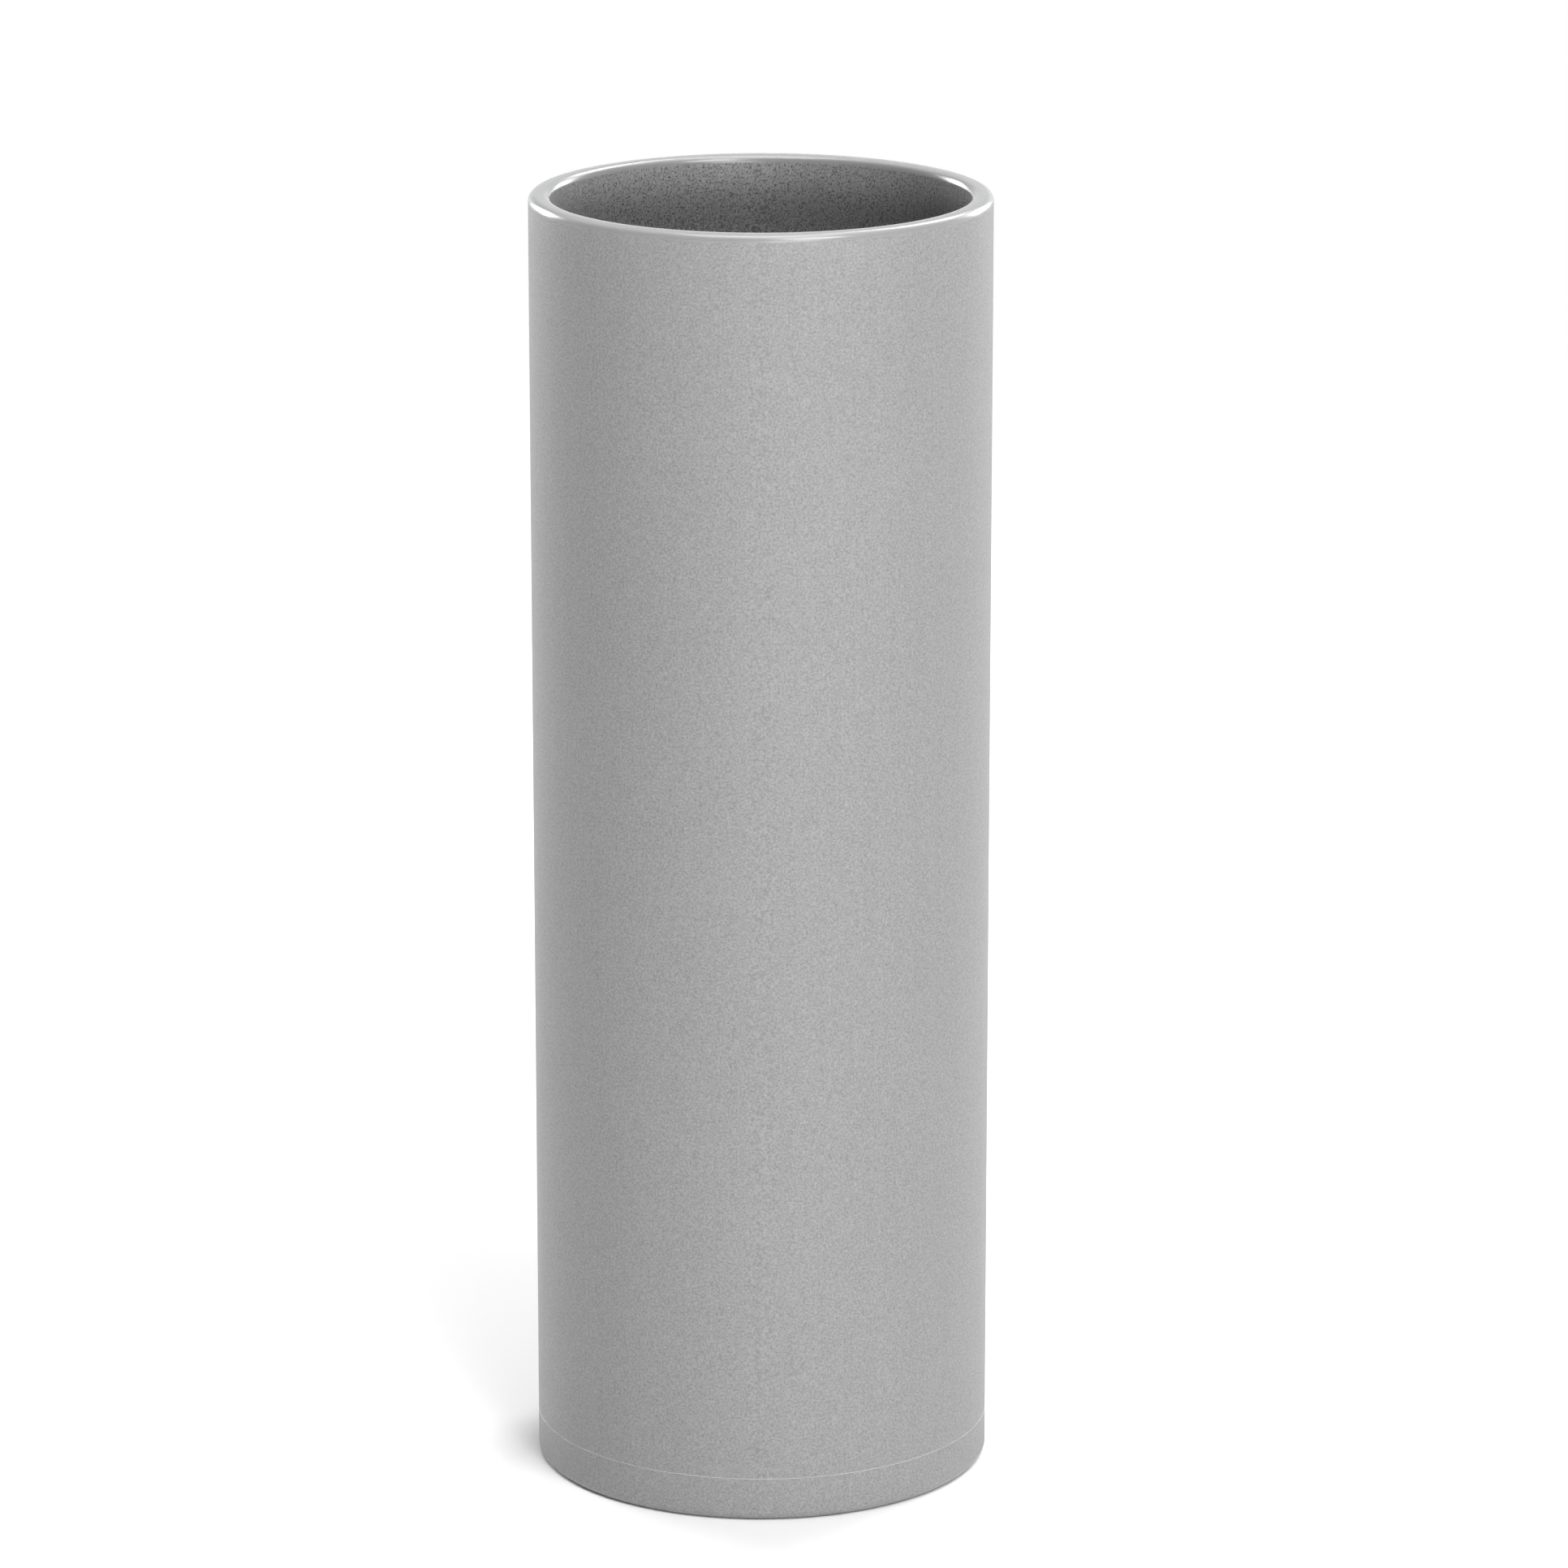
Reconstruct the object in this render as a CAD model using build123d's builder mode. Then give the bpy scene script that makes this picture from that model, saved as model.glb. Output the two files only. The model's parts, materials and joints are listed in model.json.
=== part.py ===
"""Glass cylinder vase: a cut glass tube butt-bonded on a ground glass base disc.

Row frame: millimetres, +Z up along the vase's axis, origin at the centre of the foot's plane.
The tube stands on the disc, and a film of clear adhesive seals the joint between them. The outside
is ground flush after bonding, so the wall runs straight from the foot's rounded edge to the mouth.
"""

import os

from build123d import *

# Driving sizes
VASE_HEIGHT = 298.5  # foot plane to the top of the mouth's rim
TUBE_OUTER_DIAMETER = 105.0
TUBE_WALL = 5.0
BASE_THICKNESS = 10.0
BOND_FILM = 0.15  # cured adhesive between the disc's upper face and the tube's cut end
RIM_EDGE_RADIUS = 1.65  # ground and polished edge, the same on the outside and the inside of the mouth
FOOT_EDGE_RADIUS = 1.65  # lower outer edge of the base disc
BOND_CHAMFER = 0.6  # on the tube's lower inner edge, filled by the adhesive
BEARING_RING_WIDTH = 7.0  # flat ring that the vase stands on, inside the foot's rounded edge
HOLLOW_DEPTH = 0.8  # hollow-ground underside within the bearing ring
HOLLOW_EDGE_RADIUS = 0.6  # where the hollow's floor meets its side

# Worked out from the driving sizes
outer_radius = TUBE_OUTER_DIAMETER / 2
bore_radius = outer_radius - TUBE_WALL
tube_foot_height = BASE_THICKNESS + BOND_FILM
hollow_radius = outer_radius - FOOT_EDGE_RADIUS - BEARING_RING_WIDTH


# Glass tube: the whole visible wall, open at the mouth
with BuildPart() as glass_tube:
    with BuildSketch(Plane.XY.offset(tube_foot_height)):
        Circle(outer_radius)
        Circle(bore_radius, mode=Mode.SUBTRACT)
    extrude(amount=VASE_HEIGHT - tube_foot_height)
    mouth_edges = glass_tube.edges().group_by(Axis.Z)[-1]
    fillet(mouth_edges.filter_by(GeomType.CIRCLE), RIM_EDGE_RADIUS)
    lower_edges = glass_tube.edges().group_by(Axis.Z)[0].filter_by(GeomType.CIRCLE)
    chamfer(lower_edges.sort_by(SortBy.RADIUS)[0], BOND_CHAMFER)
glass_tube.part.label = "glass_tube"


# Base disc: float glass, rounded at the foot and hollow-ground underneath
with BuildPart() as base_disc:
    with BuildSketch(Plane.XY):
        Circle(outer_radius)
    extrude(amount=BASE_THICKNESS)
    foot_edge = base_disc.edges().group_by(Axis.Z)[0].filter_by(GeomType.CIRCLE)
    fillet(foot_edge, FOOT_EDGE_RADIUS)
    with BuildSketch(Plane.XY):
        Circle(hollow_radius)
    extrude(amount=HOLLOW_DEPTH, mode=Mode.SUBTRACT)
    hollow_floor = base_disc.faces().filter_by(Axis.Z).sort_by(Axis.Z)[1]
    fillet(hollow_floor.edges(), HOLLOW_EDGE_RADIUS)
base_disc.part.label = "base_disc"


# Adhesive seal: a flat film under the tube's end, with the bead that fills the tube's inner chamfer
with BuildPart() as adhesive_seal:
    with BuildSketch(Plane.XZ):
        with BuildLine():
            Polyline(
                (bore_radius, BASE_THICKNESS),
                (outer_radius, BASE_THICKNESS),
                (outer_radius, tube_foot_height),
                (bore_radius + BOND_CHAMFER, tube_foot_height),
                (bore_radius, tube_foot_height + BOND_CHAMFER),
                close=True,
            )
        make_face()
    revolve(axis=Axis.Z)
adhesive_seal.part.label = "adhesive_seal"


os.makedirs("parts", exist_ok=True)
for piece in (glass_tube, base_disc, adhesive_seal):
    export_step(piece.part, f"parts/{piece.part.label}.step")
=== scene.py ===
"""Satin-etched glass cylinder vase: a tube bonded on a ground base disc, in a plain soft-lit studio.

Laid out as an add-on and run as a script. Everything is in metres in the row frame: +Z up along the
vase's axis, the foot's plane at zero height.
"""

import json
from math import cos, pi, radians, sin

import bmesh
import bpy
from bpy.props import FloatProperty, FloatVectorProperty, IntProperty, PointerProperty
from bpy.types import Operator, Panel, PropertyGroup
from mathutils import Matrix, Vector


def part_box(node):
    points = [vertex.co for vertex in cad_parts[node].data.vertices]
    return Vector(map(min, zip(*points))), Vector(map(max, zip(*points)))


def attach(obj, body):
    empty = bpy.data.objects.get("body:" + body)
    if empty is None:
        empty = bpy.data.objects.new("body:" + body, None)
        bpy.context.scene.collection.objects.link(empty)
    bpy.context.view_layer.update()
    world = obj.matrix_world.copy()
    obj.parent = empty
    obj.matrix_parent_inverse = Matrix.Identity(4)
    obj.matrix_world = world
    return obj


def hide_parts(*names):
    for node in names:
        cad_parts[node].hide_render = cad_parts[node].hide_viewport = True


bl_info = {
    "name": "Cylinder Vase",
    "version": (1, 0, 0),
    "blender": (4, 5, 0),
    "location": "3D View > Sidebar > Vase",
    "description": "Models a satin glass cylinder vase around its packed frame",
    "category": "Object",
}

MM = 0.001
TOUCHING = 0.01 * MM
SMOOTH_ANGLE = radians(35)
CAP_RINGS = 6
CAP_RING_WIDTH = 7 * MM
BEAD_WANDER = 6 * MM
FLOOR_SIDES = 96

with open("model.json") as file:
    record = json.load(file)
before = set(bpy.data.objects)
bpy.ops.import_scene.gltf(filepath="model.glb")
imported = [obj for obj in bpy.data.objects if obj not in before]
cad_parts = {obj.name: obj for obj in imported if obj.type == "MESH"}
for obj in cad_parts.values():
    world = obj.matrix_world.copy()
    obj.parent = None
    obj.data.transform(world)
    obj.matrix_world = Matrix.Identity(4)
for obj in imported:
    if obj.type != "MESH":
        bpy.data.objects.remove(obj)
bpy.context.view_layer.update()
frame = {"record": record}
mounts = {mount["name"]: mount for mount in frame["record"]["mounts"]}
tube_low, tube_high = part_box("glass_tube")
disc_low, disc_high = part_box("base_disc")
OUTER_RADIUS = tube_high.x
BORE_RADIUS = mounts["mouth_bore"]["dims"]["r_mm"] * MM
TOP = tube_high.z
TUBE_FOOT = tube_low.z
DISC_TOP = disc_high.z


class VaseSizes(PropertyGroup):
    """Sizes of the glass that the frame's boxes and mounts don't hold."""

    segments: IntProperty(
        name="Segments", description="Straight sides that stand for each full circle",
        default=256, min=64,
    )
    rows: IntProperty(name="Rows", description="Bands of faces along the wall", default=36, min=4)
    edge_radius: FloatProperty(
        name="Edge radius", description="Ground and polished edge of the mouth and the foot",
        default=1.65 * MM, unit="LENGTH",
    )
    edge_steps: IntProperty(
        name="Edge steps", description="Faces across a rounded edge", default=10, min=3
    )
    bond_chamfer: FloatProperty(
        name="Bond chamfer", description="Bevel on the tube's lower inner edge that the adhesive fills",
        default=0.6 * MM, unit="LENGTH",
    )
    bearing_ring: FloatProperty(
        name="Bearing ring", description="Width of the flat ring that the vase stands on",
        default=7 * MM, unit="LENGTH",
    )
    hollow_depth: FloatProperty(
        name="Hollow depth", description="Depth of the hollow-ground underside",
        default=0.8 * MM, unit="LENGTH",
    )
    hollow_corner: FloatProperty(
        name="Hollow corner", description="Radius where the hollow's floor meets its side",
        default=0.6 * MM, unit="LENGTH",
    )
    hollow_steps: IntProperty(
        name="Hollow steps", description="Faces across the hollow's rounded corner", default=5, min=2
    )
    squeeze_out: FloatProperty(
        name="Squeeze-out", description="How far the uneven adhesive bead stands out into the bore",
        default=0.3 * MM, unit="LENGTH",
    )


class GlassFinish(PropertyGroup):
    """Colours and surface of the smoke-grey glass."""

    wall_colour: FloatVectorProperty(
        name="Wall", description="Etched smoke-grey wall", default=(0.33, 0.33, 0.33), subtype="COLOR"
    )
    # Painted shade: the wall inside the bore gets a darker colour than the outside, standing in for the
    # shade inside the vase.
    bore_painted_shade_colour: FloatVectorProperty(
        name="Bore", description="Wall inside the bore, in the dark",
        default=(0.12, 0.12, 0.12), subtype="COLOR",
    )
    # Painted light: the top of the bore is made lighter, and it fades down into the darker painted
    # shade deeper in.
    mouth_painted_light_colour: FloatVectorProperty(
        name="Mouth", description="Top of the bore, lit by what enters the mouth's thick edge",
        default=(0.25, 0.25, 0.25), subtype="COLOR",
    )
    # Painted light: the flat top of the mouth gets a lighter colour than the wall, as if lit from
    # above; its polish shows in the roughness.
    crown_painted_light_colour: FloatVectorProperty(
        name="Crown", description="Flat top of the polished mouth",
        default=(0.46, 0.465, 0.465), subtype="COLOR",
    )
    floor_glass_colour: FloatVectorProperty(
        name="Inner floor", description="Fire-bright upper face of the base disc",
        default=(0.3, 0.3, 0.3), subtype="COLOR",
    )
    ground_colour: FloatVectorProperty(
        name="Ground underside", description="Ground glass under the base",
        default=(0.42, 0.42, 0.42), subtype="COLOR",
    )
    adhesive_colour: FloatVectorProperty(
        name="Adhesive", description="Cured clear adhesive",
        default=(0.40, 0.40, 0.39), subtype="COLOR",
    )
    etched_roughness: FloatProperty(
        name="Etched roughness", description="Roughness of the satin wall", default=0.55, min=0, max=1
    )
    bore_roughness: FloatProperty(
        name="Bore roughness", description="Roughness of the wall inside the bore",
        default=0.3, min=0, max=1,
    )
    polished_roughness: FloatProperty(
        name="Polished roughness", description="Roughness of the mouth's polished edge",
        default=0.23, min=0, max=1,
    )
    foot_roughness: FloatProperty(
        name="Foot roughness", description="Roughness of the foot's polished edge",
        default=0.33, min=0, max=1,
    )
    floor_glass_roughness: FloatProperty(
        name="Inner floor roughness", description="Roughness of the base disc's upper face",
        default=0.1, min=0, max=1,
    )
    ground_roughness: FloatProperty(
        name="Ground roughness", description="Roughness of the underside", default=0.62, min=0, max=1
    )
    adhesive_roughness: FloatProperty(
        name="Adhesive roughness", description="Roughness of the adhesive", default=0.3, min=0, max=1
    )
    # How far down the bore the painted light at the mouth reaches before the painted shade takes over.
    painted_light_depth: FloatProperty(
        name="Glow depth", description="How far down the bore the mouth's glow reaches",
        default=18 * MM, unit="LENGTH",
    )


class StudioSettings(PropertyGroup):
    """Camera, lights and floor around the vase."""

    camera_distance: FloatProperty(
        name="Camera distance", description="From the vase's axis, along the floor",
        default=1.6122, unit="LENGTH",
    )
    camera_height: FloatProperty(
        name="Camera height", description="Above the floor", default=0.59194, unit="LENGTH"
    )
    camera_tilt: FloatProperty(
        name="Camera tilt", description="Down from level", default=radians(14.9807), subtype="ANGLE"
    )
    camera_turn: FloatProperty(
        name="Camera turn", description="To the right of the vase's axis",
        default=radians(0.18486), subtype="ANGLE",
    )
    sensor: FloatProperty(name="Sensor", description="Sensor width in millimetres", default=36)
    lens: FloatProperty(name="Lens", description="Focal length in millimetres", default=166.43)
    floor_radius: FloatProperty(
        name="Floor radius", description="Radius of the floor", default=3, unit="LENGTH"
    )
    floor_gap: FloatProperty(
        name="Floor gap", description="Under the foot, so that no faces coincide",
        default=0.05 * MM, unit="LENGTH",
    )
    floor_colour: FloatVectorProperty(
        name="Floor", description="Pale matt floor", default=(0.74, 0.74, 0.74), subtype="COLOR"
    )
    horizon: FloatProperty(
        name="Horizon", description="Brightness of the pale room at the floor", default=1.0, min=0
    )
    ceiling: FloatProperty(
        name="Ceiling", description="Brightness of the room overhead", default=0.03, min=0
    )


# Selecting and finishing


def start_piece():
    """Leave nothing selected, so that the next operators act on the new primitive alone."""
    for other in list(bpy.context.selected_objects):
        other.select_set(False)


def add_cylinder(name, sides, radius, low, high, caps):
    """Add an upright cylinder between two heights, whose object sits at the origin."""
    start_piece()
    bpy.ops.mesh.primitive_cylinder_add(
        vertices=sides, radius=radius, depth=high - low, end_fill_type=caps,
        location=(0, 0, (low + high) / 2),
    )
    piece = bpy.context.active_object
    piece.name = piece.data.name = name
    bpy.ops.object.transform_apply(location=True, rotation=True, scale=True)
    return piece


def select(piece, kind, chosen):
    """Select, in edit mode, what chosen accepts.

    It is given the least and greatest radius, then the least and greatest height, of the corners of
    each vertex, edge or face.
    """
    bpy.ops.mesh.select_mode(type=kind)
    bpy.ops.mesh.select_all(action="DESELECT")
    mesh = bmesh.from_edit_mesh(piece.data)
    elements = {"VERT": mesh.verts, "EDGE": mesh.edges, "FACE": mesh.faces}[kind]
    for element in elements:
        corners = [element] if kind == "VERT" else element.verts
        radii = [corner.co.xy.length for corner in corners]
        heights = [corner.co.z for corner in corners]
        if chosen(min(radii), max(radii), min(heights), max(heights)):
            element.select_set(True)
    bmesh.update_edit_mesh(piece.data)


def near(value, target):
    return abs(value - target) < TOUCHING


def ring_at(radius, height):
    """A test for select: the vertices and edges of the circle with this radius at this height."""

    def chosen(r0, r1, z0, z1):
        return near(r0, radius) and near(r1, radius) and near(z0, height) and near(z1, height)

    return chosen


def round_ring(piece, radius, height, size, steps):
    """Round the circular edge at this radius and height."""
    select(piece, "EDGE", ring_at(radius, height))
    bpy.ops.mesh.bevel(
        offset=size, offset_type="OFFSET", segments=steps, profile=0.5, affect="EDGES"
    )


def apply_modifier(piece, kind, **settings):
    """Add a modifier to the active piece and apply it."""
    modifier = piece.modifiers.new(kind.title(), kind)
    for name, value in settings.items():
        setattr(modifier, name, value)
    bpy.ops.object.modifier_apply(modifier=modifier.name)


def finish_piece(piece, material, node):
    """Shade the piece smooth, give it its finish and stand it for its node."""
    bpy.ops.object.shade_smooth_by_angle(angle=SMOOTH_ANGLE)
    piece.data.materials.clear()
    piece.data.materials.append(material)
    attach(piece, "root")
    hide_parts(node)


# Shader maths


class Shade:
    """An output socket: Python's operators on it add Math nodes, and numbers stay numbers."""

    def __init__(self, tree, socket):
        self.tree = tree
        self.socket = socket

    def math(self, operation, *values):
        return self.tree.node("ShaderNodeMath", {"operation": operation}, dict(enumerate(values)))

    def __add__(self, other):
        return self.math("ADD", self, other)

    __radd__ = __add__

    def __sub__(self, other):
        return self.math("SUBTRACT", self, other)

    def __rsub__(self, other):
        return self.math("SUBTRACT", other, self)

    def __mul__(self, other):
        return self.math("MULTIPLY", self, other)

    __rmul__ = __mul__


class Tree:
    """A node tree that one method fills."""

    def __init__(self, owner):
        owner.use_nodes = True
        self.tree = owner.node_tree
        self.tree.nodes.clear()

    def node(self, kind, settings=None, sockets=None, output=0):
        """Add a node: its settings are set first, then each socket gets its value or its link."""
        node = self.tree.nodes.new(kind)
        for name, value in (settings or {}).items():
            setattr(node, name, value)
        for key, value in (sockets or {}).items():
            if isinstance(value, Shade):
                self.tree.links.new(value.socket, node.inputs[key])
            else:
                node.inputs[key].default_value = value
        return Shade(self, node.outputs[output]) if len(node.outputs) else node

    def place(self):
        """Where a point of the piece is, in metres in the row frame."""
        return self.node("ShaderNodeTexCoord", output="Object")

    def split(self, vector):
        parts = self.node("ShaderNodeSeparateXYZ", sockets={0: vector})
        outputs = parts.socket.node.outputs
        return [Shade(self, outputs[axis]) for axis in range(3)]

    def radius(self, place):
        """Distance from the vase's axis."""
        flat = self.node("ShaderNodeVectorMath", {"operation": "MULTIPLY"}, {0: place, 1: (1, 1, 0)})
        return self.node("ShaderNodeVectorMath", {"operation": "LENGTH"}, {0: flat}, output="Value")

    def noise(self, place, per_metre, detail=2.0, roughness=0.5):
        """Noise between 0 and 1, with its number of cells in a metre along each axis."""
        stretch = {0: place, 1: per_metre}
        stretched = self.node("ShaderNodeVectorMath", {"operation": "MULTIPLY"}, stretch)
        sockets = {"Vector": stretched, "Scale": 1.0, "Detail": detail, "Roughness": roughness}
        return self.node("ShaderNodeTexNoise", sockets=sockets, output="Fac")

    def ramp(self, value, start, end):
        """0 before start, 1 after end and a smooth step between them."""
        sockets = {"Value": value, "From Min": start, "From Max": end, "To Min": 0.0, "To Max": 1.0}
        return self.node("ShaderNodeMapRange", {"interpolation_type": "SMOOTHSTEP"}, sockets)

    def blend(self, factor, first, second):
        """Mix two colours."""
        first, second = (c if isinstance(c, Shade) else (*c, 1.0) for c in (first, second))
        sockets = {0: factor, 6: first, 7: second}
        return self.node("ShaderNodeMix", {"data_type": "RGBA"}, sockets, output=2)

    def tone(self, colour, factor):
        """A colour made lighter or darker by a factor."""
        scale = self.node("ShaderNodeCombineXYZ", sockets={0: factor, 1: factor, 2: factor})
        colour = colour if isinstance(colour, Shade) else tuple(colour)
        return self.node("ShaderNodeVectorMath", {"operation": "MULTIPLY"}, {0: colour, 1: scale})

    def bump(self, height, depth):
        """A normal tilted by a height between 0 and 1 that stands for this depth."""
        sockets = {"Height": height, "Distance": depth, "Strength": 1.0}
        return self.node("ShaderNodeBump", sockets=sockets)

    def principled(self, **sockets):
        """The main shader: a space in a socket's name is written as an underscore."""
        named = {name.replace("_", " "): value for name, value in sockets.items()}
        return self.node("ShaderNodeBsdfPrincipled", sockets=named)

    def surface(self, shader):
        self.node("ShaderNodeOutputMaterial", sockets={"Surface": shader})


def new_material(name):
    material = bpy.data.materials.new(name)
    return material, Tree(material)


def swing(mark, amount):
    """A mark between 0 and 1 made to swing about zero by this much in all."""
    return (mark - 0.5) * amount


def turned(mask, first, second):
    """The first value, turned into the second where the mask is 1."""
    return first * (1 - mask) + second * mask


# Finishes

# Cells of noise in a metre along each axis
SPECKLE_CELLS = (2200, 2200, 2200)
CLOUD_CELLS = (34, 34, 22)
DRAW_LINE_CELLS = (520, 520, 4)
RING_CELLS = (3000, 3000, 3000)
WORN_PATCH_CELLS = (90, 90, 2600)
BUBBLE_CELLS = (3000, 3000, 3000)
FIBRE_CELLS = (900, 900, 900)

# Which part of the noise makes the mark
SPECKLE_RANGE = (0.15, 0.85)
WORN_PATCH_RANGE = (0.62, 0.7)

# How far a mark moves the colour, as a share of it
CLOUD_TONE = 0.08
DRAW_LINE_TONE = 0.06
SPECKLE_TONE = 0.75
EXTRA_BORE_SPECKLE = 0.95
POLISH_RING_TONE = 0.12
GROUND_RING_TONE = 0.36
BEARING_TONE = 0.1
BUBBLE_TONE = 0.16
FIBRE_TONE = 0.02

# How far a mark moves the roughness
CLOUD_ROUGHNESS = 0.14
SPECKLE_ROUGHNESS = 0.08
POLISH_RING_ROUGHNESS = 0.08
GROUND_RING_ROUGHNESS = 0.3
BEARING_SHINE = 0.25
WORN_PATCH_ROUGHNESS = 0.1
BUBBLE_ROUGHNESS = 0.1

# Relief, with each mark's share of its depth
RELIEF_DEPTH = 0.04 * MM
BUBBLE_DEPTH = 0.02 * MM
SPECKLE_RELIEF = 0.6
DRAW_LINE_RELIEF = 0.4
BORE_SMOOTHING = 0.6
POLISH_RING_RELIEF = 0.1
GROUND_RING_RELIEF = 0.8

# Where one finish or glow turns into another
BORE_SKIN = (0.5 * MM, 1.5 * MM)  # outwards from the bore
UPPER_FACE_SKIN = (0.3 * MM, 0.1 * MM)  # down from the base disc's upper face
UNDERSIDE_HEIGHT = (1.0 * MM, 1.6 * MM)  # up from the foot's plane, above the hollow
BEARING_EDGE = 0.2 * MM  # either side of the bearing ring's inner edge
POLISH_REACH = (0.8, 1.1)  # in edge radii, from the mouth's or the foot's plane
CROWN_REACH = 0.5  # in edge radii, down from the mouth's plane
UNDERSIDE_RIM = (1.2, 0.6)  # in edge radii, inwards from the outer wall
FLOOR_GLOW = (0.15, 0.45)  # in floor radii, from the vase's axis
HAZE_RISE = (0.08, 0.3)  # sine of the angle above level

GLASS = {"IOR": 1.52, "Transmission Weight": 0.3}
ADHESIVE_IOR = 1.5


def etched_glass(tree, finish, place):
    """Speckle, tone, roughness and relief of the satin surface."""
    speckle = tree.ramp(tree.noise(place, SPECKLE_CELLS, roughness=0.65), *SPECKLE_RANGE)
    cloud = tree.noise(place, CLOUD_CELLS, detail=3)
    lines = tree.noise(place, DRAW_LINE_CELLS, detail=3)
    tone = 1 + swing(cloud, CLOUD_TONE) + swing(lines, DRAW_LINE_TONE)
    roughness = finish.etched_roughness + swing(cloud, CLOUD_ROUGHNESS)
    roughness = roughness + swing(speckle, SPECKLE_ROUGHNESS)
    relief = speckle * SPECKLE_RELIEF + lines * DRAW_LINE_RELIEF
    return speckle, tone, roughness, relief


def wheel_rings(tree, place):
    """Fine rings that a grinding or polishing wheel leaves, between 0 and 1."""
    height = tree.split(place)[2]
    section = tree.node("ShaderNodeCombineXYZ", sockets={0: tree.radius(place), 1: height, 2: 0.0})
    return tree.noise(section, RING_CELLS, detail=3)


def satin_glass(finish, sizes):
    """The tube: etched outside, darker and smoother inside the bore, with a polished mouth; the bore's
    darkness is painted shade, with painted light at its top and on the crown.
    """
    material, tree = new_material("satin_glass")
    place = tree.place()
    height = tree.split(place)[2]
    speckle, tone, roughness, relief = etched_glass(tree, finish, place)
    rings = wheel_rings(tree, place)
    edge = sizes.edge_radius
    skin_start, skin_end = BORE_SKIN
    polish_full, polish_start = POLISH_REACH
    inside = 1 - tree.ramp(tree.radius(place), BORE_RADIUS + skin_start, BORE_RADIUS + skin_end)
    polish = tree.ramp(height, TOP - polish_start * edge, TOP - polish_full * edge)
    # painted_light_crown masks the top of the mouth, where the lighter colour is painted light.
    painted_light_crown = tree.ramp(height, TOP - CROWN_REACH * edge, TOP)
    # glow masks the painted light at the top of the bore; below it the bore darkens as painted shade.
    glow = tree.ramp(height, TOP - finish.painted_light_depth, TOP - edge)
    bore = tree.blend(glow * glow, finish.bore_painted_shade_colour, finish.mouth_painted_light_colour)
    speckle_tone = SPECKLE_TONE + inside * EXTRA_BORE_SPECKLE
    grain = tone + swing(speckle, speckle_tone) * (1 - polish)
    # Inside the bore the wall colour gives way to the bore's painted shade and painted light.
    colour = tree.tone(tree.blend(inside, finish.wall_colour, bore), grain)
    # bright is the crown's lighter colour, painted light, with the real tone of the wheel rings on it.
    bright = tree.tone(finish.crown_painted_light_colour, 1 + swing(rings, POLISH_RING_TONE))
    roughness = roughness + inside * (finish.bore_roughness - finish.etched_roughness)
    polished = finish.polished_roughness + swing(rings, POLISH_RING_ROUGHNESS)
    relief = turned(polish, relief * (1 - inside * BORE_SMOOTHING), rings * POLISH_RING_RELIEF)
    glass = tree.principled(
        **GLASS,
        Base_Color=tree.blend(painted_light_crown, colour, bright),
        Roughness=turned(polish, roughness, polished),
        Normal=tree.bump(relief, RELIEF_DEPTH),
    )
    tree.surface(glass)
    return material


def base_glass(finish, sizes):
    """The disc: etched edge, bright upper face, ring-ground hollow and a worn bearing ring."""
    material, tree = new_material("base_glass")
    place = tree.place()
    height = tree.split(place)[2]
    radius = tree.radius(place)
    speckle, tone, roughness, relief = etched_glass(tree, finish, place)
    rings = wheel_rings(tree, place)
    worn = tree.ramp(tree.noise(place, WORN_PATCH_CELLS, detail=2), *WORN_PATCH_RANGE)
    edge = sizes.edge_radius
    hollow = bearing_inner_radius(sizes)
    upper = tree.ramp(height, *(DISC_TOP - depth for depth in UPPER_FACE_SKIN))
    within = 1 - tree.ramp(radius, *(OUTER_RADIUS - share * edge for share in UNDERSIDE_RIM))
    under = (1 - tree.ramp(height, *UNDERSIDE_HEIGHT)) * within
    bearing = under * tree.ramp(radius, hollow - BEARING_EDGE, hollow + BEARING_EDGE)
    foot = (1 - tree.ramp(height, *(share * edge for share in POLISH_REACH))) * (1 - within)
    colour = tree.tone(finish.wall_colour, tone + swing(speckle, SPECKLE_TONE))
    ground_tone = 1 + swing(rings, GROUND_RING_TONE) - bearing * BEARING_TONE
    colour = tree.blend(under, colour, tree.tone(finish.ground_colour, ground_tone))
    colour = tree.blend(upper, colour, tree.tone(finish.floor_glass_colour, tone))
    ground = finish.ground_roughness + swing(rings, GROUND_RING_ROUGHNESS)
    ground = ground - bearing * BEARING_SHINE + worn * WORN_PATCH_ROUGHNESS
    roughness = turned(foot, roughness, finish.foot_roughness)
    roughness = turned(under, roughness, ground)
    roughness = turned(upper, roughness, finish.floor_glass_roughness)
    relief = relief * (1 - under) * (1 - upper) * (1 - foot) + rings * under * GROUND_RING_RELIEF
    glass = tree.principled(
        **GLASS,
        Base_Color=colour,
        Roughness=roughness,
        Normal=tree.bump(relief, RELIEF_DEPTH),
    )
    tree.surface(glass)
    return material


def clear_adhesive(finish):
    """Clear adhesive with fine bubbles."""
    material, tree = new_material("clear_adhesive")
    bubbles = tree.noise(tree.place(), BUBBLE_CELLS, detail=1)
    adhesive = tree.principled(
        Base_Color=tree.tone(finish.adhesive_colour, 1 + swing(bubbles, BUBBLE_TONE)),
        Roughness=finish.adhesive_roughness + swing(bubbles, BUBBLE_ROUGHNESS),
        IOR=ADHESIVE_IOR,
        Normal=tree.bump(bubbles, BUBBLE_DEPTH),
    )
    tree.surface(adhesive)
    return material


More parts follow.
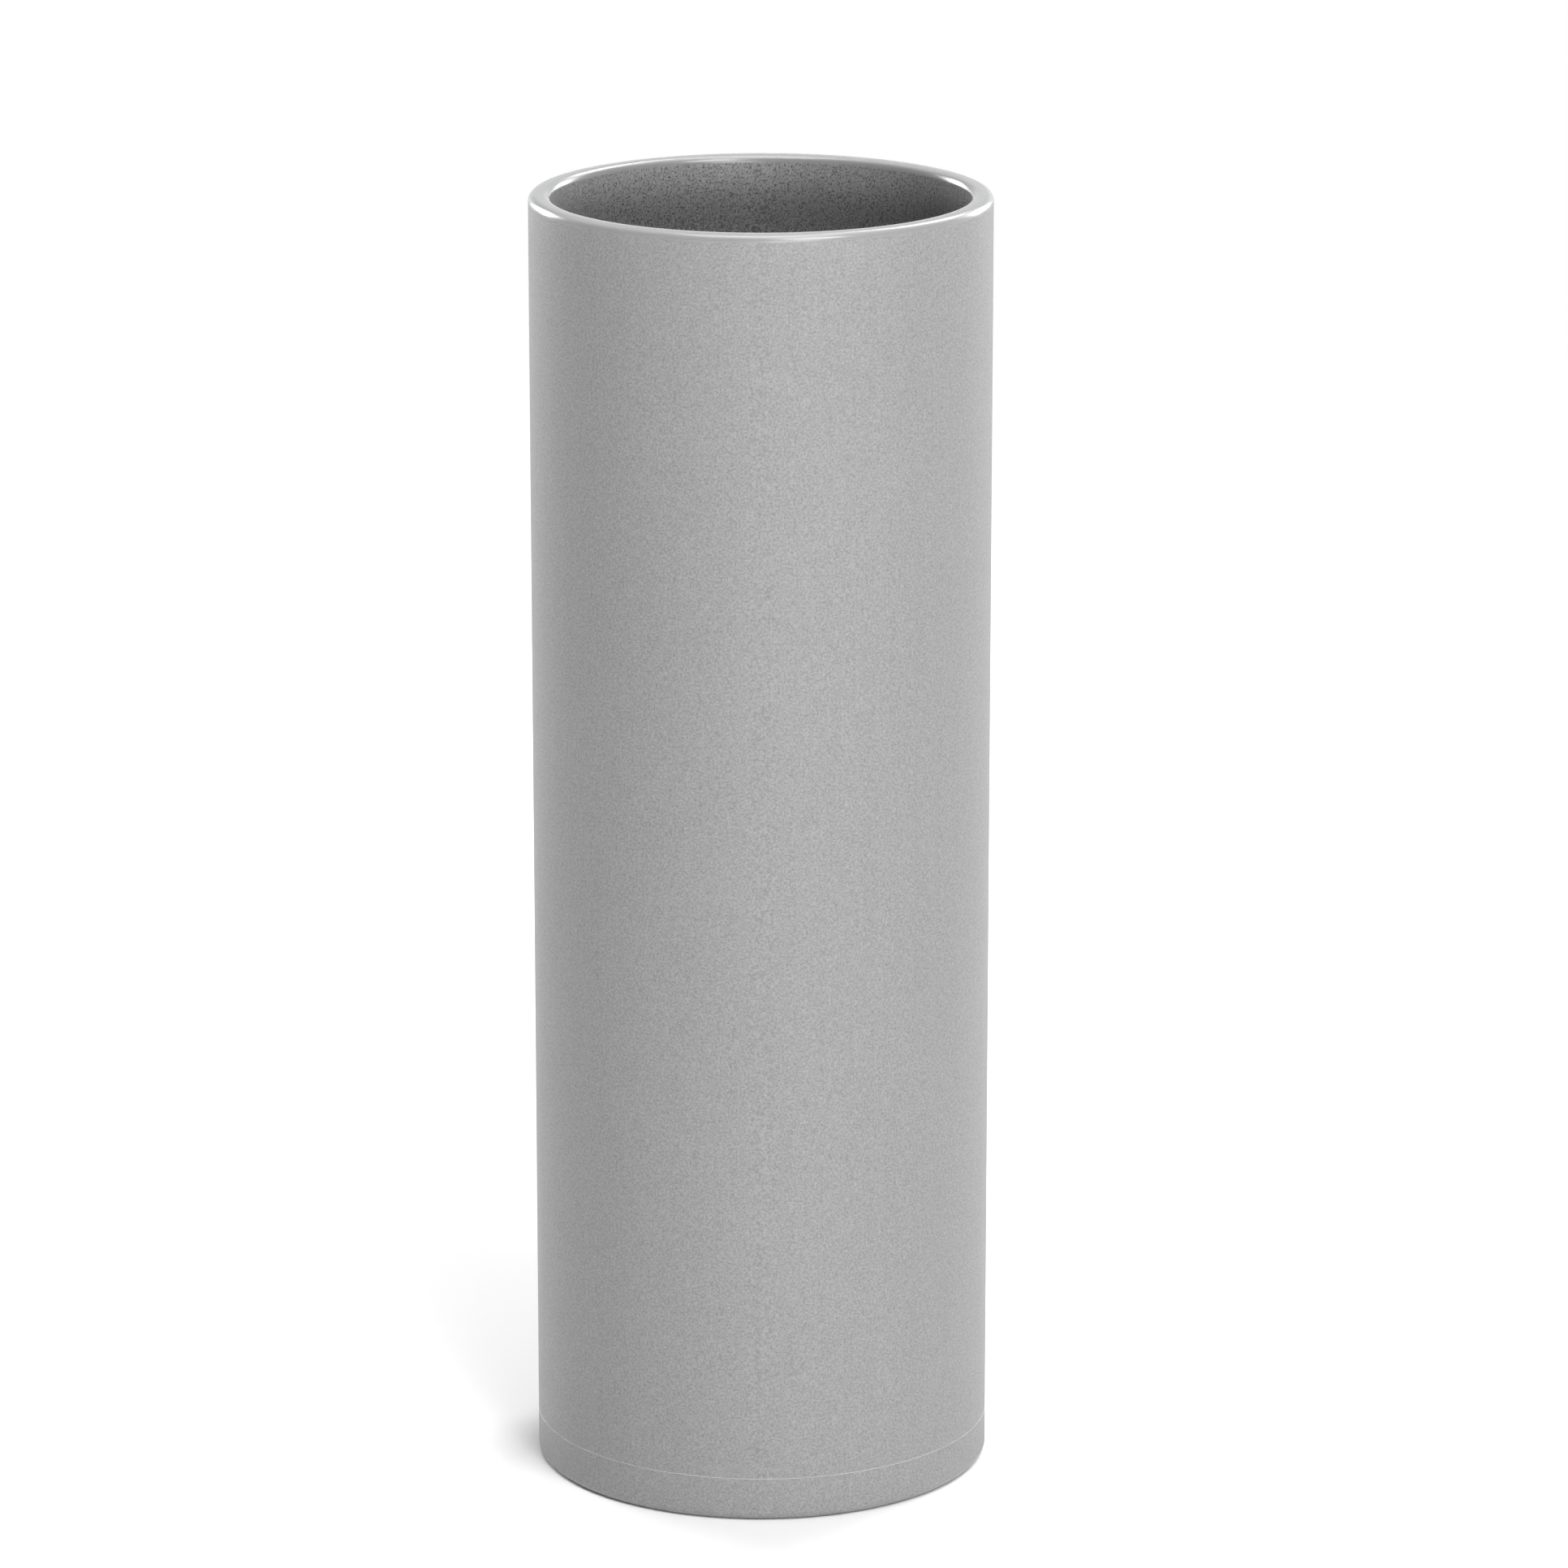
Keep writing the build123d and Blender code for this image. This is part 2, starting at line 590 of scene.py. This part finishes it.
def matt_floor(studio):
    """A pale matt floor that turns into a white glow towards its edge, where it meets the surround."""
    material, tree = new_material("studio_floor")
    place = tree.place()
    fibres = tree.noise(place, FIBRE_CELLS)
    colour = tree.tone(studio.floor_colour, 1 + swing(fibres, FIBRE_TONE))
    matt = tree.principled(Base_Color=colour, Roughness=0.9, Specular_IOR_Level=0.1)
    glow = tree.node("ShaderNodeEmission", sockets={"Strength": studio.horizon})
    outwards = tree.ramp(tree.radius(place), *(share * studio.floor_radius for share in FLOOR_GLOW))
    tree.surface(tree.node("ShaderNodeMixShader", sockets={0: outwards, 1: matt, 2: glow}))
    return material


# Pieces


def bearing_inner_radius(sizes):
    """Where the bearing ring ends and the hollow underside starts."""
    return OUTER_RADIUS - sizes.edge_radius - sizes.bearing_ring


class VASE_OT_glass_tube(Operator):
    """Model the wall: an open tube with rounded mouth edges and a chamfer for the adhesive"""

    bl_idname = "vase.glass_tube"
    bl_label = "Glass Tube"

    def execute(self, context):
        sizes = context.scene.vase_sizes
        tube = add_cylinder("satin_tube", sizes.segments, OUTER_RADIUS, TUBE_FOOT, TOP, "NOTHING")
        bpy.ops.object.mode_set(mode="EDIT")
        select(tube, "EDGE", lambda r0, r1, z0, z1: not near(z0, z1))
        bpy.ops.mesh.subdivide(number_cuts=sizes.rows - 1)
        bpy.ops.object.mode_set(mode="OBJECT")
        wall = OUTER_RADIUS - BORE_RADIUS
        apply_modifier(tube, "SOLIDIFY", thickness=wall, offset=-1, use_even_offset=True)
        bpy.ops.object.mode_set(mode="EDIT")
        round_ring(tube, OUTER_RADIUS, TOP, sizes.edge_radius, sizes.edge_steps)
        round_ring(tube, BORE_RADIUS, TOP, sizes.edge_radius, sizes.edge_steps)
        round_ring(tube, BORE_RADIUS, TUBE_FOOT, sizes.bond_chamfer, 1)
        bpy.ops.object.mode_set(mode="OBJECT")
        finish_piece(tube, satin_glass(context.scene.glass_finish, sizes), "glass_tube")
        return {"FINISHED"}


class VASE_OT_base_disc(Operator):
    """Model the base: a disc with a rounded foot and a hollow-ground underside"""

    bl_idname = "vase.base_disc"
    bl_label = "Base Disc"

    def execute(self, context):
        sizes = context.scene.vase_sizes
        disc = add_cylinder("ground_base", sizes.segments, OUTER_RADIUS, 0, DISC_TOP, "NGON")
        hollow = bearing_inner_radius(sizes)
        bpy.ops.object.mode_set(mode="EDIT")
        self.ring_cap(disc, DISC_TOP)
        select(disc, "FACE", lambda r0, r1, z0, z1: near(z1, 0))
        bpy.ops.mesh.inset(thickness=OUTER_RADIUS - hollow, depth=0)
        bpy.ops.mesh.extrude_region_move(TRANSFORM_OT_translate={"value": (0, 0, sizes.hollow_depth)})
        self.ring_cap(disc, sizes.hollow_depth)
        round_ring(disc, hollow, sizes.hollow_depth, sizes.hollow_corner, sizes.hollow_steps)
        round_ring(disc, OUTER_RADIUS, 0, sizes.edge_radius, sizes.edge_steps)
        bpy.ops.object.mode_set(mode="OBJECT")
        finish_piece(disc, base_glass(context.scene.glass_finish, sizes), "base_disc")
        return {"FINISHED"}

    def ring_cap(self, disc, height):
        """Divide the flat round cap at this height into rings that close on a pole."""
        select(disc, "FACE", lambda r0, r1, z0, z1: near(z0, height) and near(z1, height))
        for ring in range(CAP_RINGS):
            bpy.ops.mesh.inset(thickness=CAP_RING_WIDTH, depth=0)
        bpy.ops.mesh.poke()


class VASE_OT_adhesive_seal(Operator):
    """Model the bond line: a thin film with an uneven bead in the bore's corner"""

    bl_idname = "vase.adhesive_seal"
    bl_label = "Adhesive Seal"

    def execute(self, context):
        sizes = context.scene.vase_sizes
        start_piece()
        bpy.ops.mesh.primitive_plane_add(size=1, rotation=(pi / 2, 0, 0))
        seal = bpy.context.active_object
        seal.name = seal.data.name = "bond_line"
        bpy.ops.object.transform_apply(location=True, rotation=True, scale=True)
        bpy.ops.object.mode_set(mode="EDIT")
        self.shape_section(seal, sizes)
        bpy.ops.mesh.select_all(action="SELECT")
        bpy.ops.mesh.spin(steps=sizes.segments, angle=2 * pi, center=(0, 0, 0), axis=(0, 0, 1))
        bpy.ops.mesh.select_all(action="SELECT")
        bpy.ops.mesh.remove_doubles(threshold=TOUCHING)
        bpy.ops.mesh.normals_make_consistent(inside=False)
        self.make_uneven(seal, sizes)
        bpy.ops.object.mode_set(mode="OBJECT")
        finish = context.scene.glass_finish
        finish_piece(seal, clear_adhesive(finish), "adhesive_seal")
        return {"FINISHED"}

    def shape_section(self, seal, sizes):
        """Turn the unit plane into the outline of the film with its bead, open within."""
        film = TUBE_FOOT - DISC_TOP
        wall = OUTER_RADIUS - BORE_RADIUS
        bead_edge = BORE_RADIUS + sizes.bond_chamfer
        bpy.ops.mesh.select_all(action="SELECT")
        bpy.ops.transform.resize(value=(wall, 1, film))
        bpy.ops.transform.translate(value=(BORE_RADIUS + wall / 2, 0, DISC_TOP + film / 2))
        bpy.ops.mesh.bisect(plane_co=(bead_edge, 0, 0), plane_no=(1, 0, 0))
        select(seal, "VERT", ring_at(BORE_RADIUS, TUBE_FOOT))
        bpy.ops.transform.translate(value=(0, 0, sizes.bond_chamfer))
        select(seal, "VERT", ring_at(BORE_RADIUS, DISC_TOP))
        bpy.ops.transform.translate(value=(-sizes.squeeze_out, 0, 0))
        select(seal, "EDGE", lambda r0, r1, z0, z1: near(r0, bead_edge) and near(r1, bead_edge))
        bpy.ops.mesh.delete(type="EDGE")

    def make_uneven(self, seal, sizes):
        """Let the foot of the bead wander in and out over the disc, as squeezed-out adhesive does."""
        select(seal, "VERT", ring_at(BORE_RADIUS - sizes.squeeze_out, DISC_TOP))
        bpy.ops.object.vertex_group_assign_new()
        wander = bpy.data.textures.new("bead_wander", "CLOUDS")
        wander.noise_scale = BEAD_WANDER
        bpy.ops.object.mode_set(mode="OBJECT")
        bead = seal.vertex_groups.active.name
        swell = 2 * sizes.squeeze_out
        apply_modifier(seal, "DISPLACE", texture=wander, vertex_group=bead, strength=swell)
        bpy.ops.object.mode_set(mode="EDIT")
        bpy.ops.transform.resize(value=(1, 1, 0), center_override=(0, 0, DISC_TOP))


class VASE_OT_studio(Operator):
    """Lay the floor and set the surround, the lights and the camera"""

    bl_idname = "vase.studio"
    bl_label = "Studio"

    def execute(self, context):
        studio = context.scene.studio_settings
        context.scene.view_settings.view_transform = "Standard"
        start_piece()
        bpy.ops.mesh.primitive_circle_add(
            vertices=FLOOR_SIDES, radius=studio.floor_radius, fill_type="NGON",
            location=(0, 0, -studio.floor_gap),
        )
        floor = bpy.context.active_object
        floor.name = "studio_floor"
        floor.data.materials.append(matt_floor(studio))
        self.surround(context.scene, studio)
        self.softbox("key", turn=30, rise=45, power=44)
        self.softbox("fill", turn=16, rise=15, power=20)
        self.softbox("left", turn=-138, rise=15, power=43)
        self.softbox("right", turn=140, rise=15, power=27)
        self.softbox("back_right", turn=150, rise=45, power=24)
        self.softbox("overhead", turn=0, rise=85, power=43, size=1.6)
        self.camera(context.scene, studio)
        return {"FINISHED"}

    def surround(self, scene, studio):
        """A pale horizon that fades upwards, so that the room meets the floor with no line."""
        scene.world = bpy.data.worlds.new("pale_room")
        tree = Tree(scene.world)
        rise = tree.split(tree.node("ShaderNodeTexCoord", output="Generated"))[2]
        glow = turned(tree.ramp(rise, *HAZE_RISE), studio.horizon, studio.ceiling)
        light = tree.node("ShaderNodeBackground", sockets={"Color": (1, 1, 1, 1), "Strength": glow})
        tree.node("ShaderNodeOutputWorld", sockets={"Surface": light})

    def softbox(self, name, turn, rise, power, size=1.0, distance=2.4):
        """A square soft light: turn is degrees to the right of the front, rise is degrees up."""
        turn, rise = radians(turn), radians(rise)
        level = distance * cos(rise)
        bpy.ops.object.light_add(
            type="AREA",
            location=(level * sin(turn), -level * cos(turn), TOP / 2 + distance * sin(rise)),
            rotation=(pi / 2 - rise, 0, turn),
        )
        light = bpy.context.active_object
        light.name = light.data.name = name
        light.data.size = size
        light.data.energy = power
        light.visible_camera = False

    def camera(self, scene, studio):
        bpy.ops.object.camera_add(
            location=(0, -studio.camera_distance, studio.camera_height),
            rotation=(pi / 2 - studio.camera_tilt, 0, -studio.camera_turn),
        )
        camera = bpy.context.active_object
        camera.data.sensor_width = studio.sensor
        camera.data.lens = studio.lens
        scene.camera = camera


OPERATORS = (VASE_OT_glass_tube, VASE_OT_base_disc, VASE_OT_adhesive_seal, VASE_OT_studio)


class VASE_PT_sidebar(Panel):
    """Lists the vase's pieces and the studio"""

    bl_label = "Vase"
    bl_space_type = "VIEW_3D"
    bl_region_type = "UI"
    bl_category = "Vase"

    def draw(self, context):
        for operator in OPERATORS:
            self.layout.operator(operator.bl_idname)


SETTINGS = {"vase_sizes": VaseSizes, "glass_finish": GlassFinish, "studio_settings": StudioSettings}
CLASSES = (*SETTINGS.values(), *OPERATORS, VASE_PT_sidebar)


def register():
    for cls in CLASSES:
        bpy.utils.register_class(cls)
    for name, group in SETTINGS.items():
        setattr(bpy.types.Scene, name, PointerProperty(type=group))


def unregister():
    for name in SETTINGS:
        delattr(bpy.types.Scene, name)
    for cls in reversed(CLASSES):
        bpy.utils.unregister_class(cls)


def main():
    register()
    bpy.ops.vase.glass_tube()
    bpy.ops.vase.base_disc()
    bpy.ops.vase.adhesive_seal()
    bpy.ops.vase.studio()


if __name__ == "__main__":
    main()
